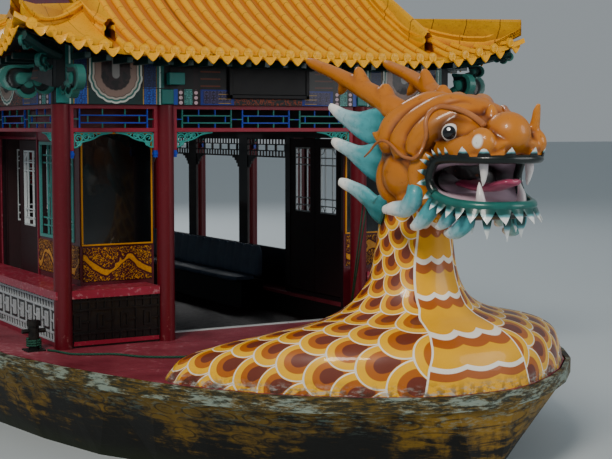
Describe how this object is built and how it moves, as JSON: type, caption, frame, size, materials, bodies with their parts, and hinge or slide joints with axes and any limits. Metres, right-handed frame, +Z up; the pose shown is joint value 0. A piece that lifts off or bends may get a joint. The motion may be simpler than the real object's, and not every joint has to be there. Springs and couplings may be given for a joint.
{
  "type": "dragon boat",
  "caption": "Lake passenger boat with a dragon's head and tail, tiled pavilions and an open saloon, screw and rudder.",
  "frame": {"origin": "amidships on the centreline, at the waterline", "axes": "+X towards the bow, +Y to port, +Z up"},
  "size_m": [22.28, 6, 6.1011],
  "materials": {
    "hull_paint": "weathered mossy paint",
    "deck_paint": "worn maroon deck paint",
    "strake": "weathered grey",
    "steel": "bare",
    "bronze": "polished",
    "scales": "painted fibreglass with scales",
    "dragon_orange": "painted fibreglass",
    "fin_teal": "painted, fading to white tips",
    "tongue": "painted",
    "eye": "painted white with a black pupil",
    "pillar_red": "dark red lacquer",
    "rail_red": "crimson lacquer",
    "panel_maroon": "lacquer with gold pattern",
    "seat": "dark blue",
    "roof_tile": "glazed yellow tile",
    "glass": "dark pane",
    "iron": "black paint",
    "rope": "green laid rope"
  },
  "bodies": {
    "boat": {"hull": "hull_paint", "deck": "deck_paint", "cabin_floor": "deck_paint", "strake": "strake", "skeg": "hull_paint", "engine_block": "steel", "hatch_coaming": "deck_paint", "dragon_body": "scales", "dragon_head": "dragon_orange", "tongue": "tongue", "beard": "fin_teal", "horn_port": "dragon_orange", "horn_starboard": "dragon_orange", "mane_port": "fin_teal", "mane_starboard": "fin_teal", "whisker_port": "dragon_orange", "whisker_starboard": "dragon_orange", "eye_port": "eye", "eye_starboard": "eye", "dragon_tail": "scales", "tail_fin": "fin_teal", "colonnade_port": "pillar_red", "colonnade_starboard": "pillar_red", "portal_fore": "pillar_red", "portal_aft": "pillar_red", "inner_beam_fore": "pillar_red", "inner_beam_aft": "pillar_red", "saloon_wall_port": "panel_maroon", "saloon_wall_starboard": "panel_maroon", "porch_wall_fore_port": "panel_maroon", "porch_wall_fore_starboard": "panel_maroon", "porch_wall_aft_port": "panel_maroon", "porch_wall_aft_starboard": "panel_maroon", "bench_fore_port": "rail_red", "bench_fore_starboard": "rail_red", "bench_aft_port": "rail_red", "bench_aft_starboard": "rail_red", "window_pane_port": "glass", "window_pane_starboard": "glass", "seat_row_port": "seat", "seat_row_starboard": "seat", "roof_fore": "roof_tile", "ridge_fore": "roof_tile", "roof_aft": "roof_tile", "ridge_aft": "roof_tile", "roof_saloon": "roof_tile", "plaque": "iron", "bollard_fore_port": "iron", "bollard_fore_starboard": "iron", "bollard_aft_port": "iron", "bollard_aft_starboard": "iron", "deck_rope": "rope"},
    "propeller": {"propeller": "bronze"},
    "rudder": {"rudder": "steel"},
    "engine_hatch": {"engine_hatch": "deck_paint"},
    "leaf_port_fore": {"leaf_port_fore": "panel_maroon"},
    "leaf_port_aft": {"leaf_port_aft": "panel_maroon"},
    "leaf_starboard_fore": {"leaf_starboard_fore": "panel_maroon"},
    "leaf_starboard_aft": {"leaf_starboard_aft": "panel_maroon"}
  },
  "joints": [
    {"name": "propeller_spin", "type": "hinge", "parent": "boat", "child": "propeller", "pos_m": [-9.42, 0, -0.38], "axis": [1, 0, 0], "continuous": true},
    {"name": "rudder_turn", "type": "hinge", "parent": "boat", "child": "rudder", "pos_m": [-10.05, 0, -0.35], "axis": [0, 0, 1], "range_deg": [-35, 35]},
    {"name": "hatch_lift", "type": "hinge", "parent": "boat", "child": "engine_hatch", "pos_m": [-7.31, 0, 1.0003], "axis": [0, 1, 0], "range_deg": [0, 90]},
    {"name": "leaf_port_fore_swing", "type": "hinge", "parent": "boat", "child": "leaf_port_fore", "pos_m": [5.438, 1.8775, 1.85], "axis": [0, 0, 1], "range_deg": [0, 90]},
    {"name": "leaf_port_aft_swing", "type": "hinge", "parent": "boat", "child": "leaf_port_aft", "pos_m": [4.2, 1.8775, 1.85], "axis": [0, 0, -1], "range_deg": [0, 90]},
    {"name": "leaf_starboard_fore_swing", "type": "hinge", "parent": "boat", "child": "leaf_starboard_fore", "pos_m": [5.438, -1.8775, 1.85], "axis": [0, 0, -1], "range_deg": [0, 90]},
    {"name": "leaf_starboard_aft_swing", "type": "hinge", "parent": "boat", "child": "leaf_starboard_aft", "pos_m": [4.2, -1.8775, 1.85], "axis": [0, 0, 1], "range_deg": [-90, 0]}
  ]
}
